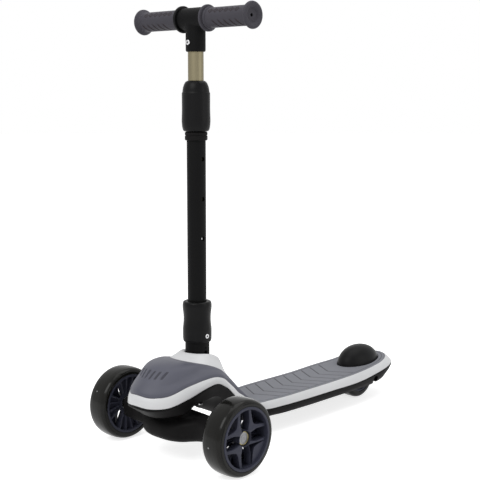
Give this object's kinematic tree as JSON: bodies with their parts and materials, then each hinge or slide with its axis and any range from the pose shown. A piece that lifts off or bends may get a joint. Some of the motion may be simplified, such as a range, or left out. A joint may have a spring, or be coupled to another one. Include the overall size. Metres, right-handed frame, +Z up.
{
  "type": "folding kick scooter",
  "caption": "Lean-to-steer kick scooter with a low deck, two front wheels, a rear wheel under a heel brake, and a folding, height-adjustable stem with grips.",
  "frame": {"origin": "on the ground under the middle of the scooter's length, midway between its sides", "axes": "+Z up, -Y the way it rides, +X the rider's left"},
  "size_m": [0.307, 0.64, 0.7048],
  "materials": {
    "shell_white": "satin moulded",
    "cover_grey": "fine moulded texture",
    "mat_grey": "matt, engraved",
    "black_plastic": "matt moulded",
    "black_rubber": "matt",
    "black_alloy": "black paint",
    "champagne_alloy": "anodised",
    "bright_steel": "bright",
    "spring_steel": "drawn wire",
    "cast_alloy": "as cast",
    "smoky_tyre": "glossy smoky urethane",
    "hub_slate": "satin moulded",
    "grip_grey": "matt, embossed",
    "bushing_amber": "urethane"
  },
  "bodies": {
    "deck": {"head_frame": "cast_alloy", "kingpin": "bright_steel", "kingpin_nut": "bright_steel", "fold_pin": "bright_steel", "base_tub": "black_plastic", "frame_screw_1_left": "bright_steel", "frame_screw_1_right": "bright_steel", "frame_screw_2_left": "bright_steel", "frame_screw_2_right": "bright_steel", "white_shell": "shell_white", "head_cover": "cover_grey", "deck_mat": "mat_grey", "rear_axle": "bright_steel", "rear_axle_nut": "bright_steel", "brake_pin": "bright_steel", "brake_spring": "spring_steel"},
    "truck": {"steering_truck": "black_plastic", "truck_bushing_upper": "bushing_amber", "truck_bushing_lower": "bushing_amber", "axle_bolt_left": "bright_steel", "axle_bolt_right": "bright_steel"},
    "front_wheel_left": {"front_tyre_left": "smoky_tyre", "front_hub_left": "hub_slate", "bearing_outer_left": "bright_steel", "bearing_inner_left": "bright_steel", "wheel_cap_left": "bright_steel"},
    "front_wheel_right": {"front_tyre_right": "smoky_tyre", "front_hub_right": "hub_slate", "bearing_outer_right": "bright_steel", "bearing_inner_right": "bright_steel", "wheel_cap_right": "bright_steel"},
    "rear_wheel": {"rear_tyre": "smoky_tyre", "rear_hub": "hub_slate", "rear_bearing_left": "bright_steel", "rear_bearing_right": "bright_steel"},
    "brake": {"brake_fender": "black_plastic"},
    "stem": {"neck": "black_alloy", "neck_set_screw": "bright_steel", "spring_stop": "cast_alloy", "outer_tube": "black_alloy", "thread_ring": "black_plastic", "collet": "bushing_amber"},
    "lock_collar": {"release_collar": "black_plastic", "collar_screw": "bright_steel", "lock_rod": "bright_steel", "lock_pin": "bright_steel", "lock_spring": "spring_steel"},
    "clamp": {"lock_sleeve": "black_plastic"},
    "handlebar": {"inner_tube": "champagne_alloy", "snap_spring": "spring_steel", "handlebar_tee": "black_alloy", "tee_screw": "bright_steel", "crossbar": "bright_steel", "grip_left": "grip_grey", "grip_right": "grip_grey", "spacer_ring": "black_rubber"},
    "button": {"snap_button": "bright_steel"}
  },
  "joints": [
    {"name": "truck_lean", "type": "hinge", "parent": "deck", "child": "truck", "pos_m": [0, -0.232, 0.055], "axis": [0, -0.5299, 0.848], "range_deg": [-15, 15], "stiffness_Nm_per_rad": 25},
    {"name": "front_wheel_left_spin", "type": "hinge", "parent": "truck", "child": "front_wheel_left", "pos_m": [0.133, -0.232, 0.06], "axis": [1, 0, 0], "continuous": true},
    {"name": "front_wheel_right_spin", "type": "hinge", "parent": "truck", "child": "front_wheel_right", "pos_m": [-0.133, -0.232, 0.06], "axis": [1, 0, 0], "continuous": true},
    {"name": "rear_wheel_spin", "type": "hinge", "parent": "deck", "child": "rear_wheel", "pos_m": [0, 0.228, 0.04], "axis": [1, 0, 0], "continuous": true},
    {"name": "brake_press", "type": "hinge", "parent": "deck", "child": "brake", "pos_m": [0, 0.184, 0.052], "axis": [-1, 0, 0], "range_deg": [0, 3.3], "stiffness_Nm_per_rad": 3, "springref_deg": -2.86},
    {"name": "stem_fold", "type": "hinge", "parent": "deck", "child": "stem", "pos_m": [0, -0.187, 0.13], "axis": [-1, 0, 0], "range_deg": [0, 90]},
    {"name": "collar_lift", "type": "slide", "parent": "stem", "child": "lock_collar", "axis": [0, 0, 1], "range_m": [0, 0.012], "stiffness_N_per_m": 300, "springref_m": -0.02, "deforming": ["lock_spring"]},
    {"name": "clamp_turn", "type": "hinge", "parent": "stem", "child": "clamp", "pos_m": [0, -0.187, 0.551], "axis": [0, 0, 1], "range_deg": [0, 90]},
    {"name": "bar_height", "type": "slide", "parent": "stem", "child": "handlebar", "axis": [0, 0, 1], "range_m": [0, 0.125]},
    {"name": "button_press", "type": "slide", "parent": "handlebar", "child": "button", "axis": [-1, 0, 0], "range_m": [0, 0.0028], "stiffness_N_per_m": 500, "springref_m": -0.003}
  ]
}
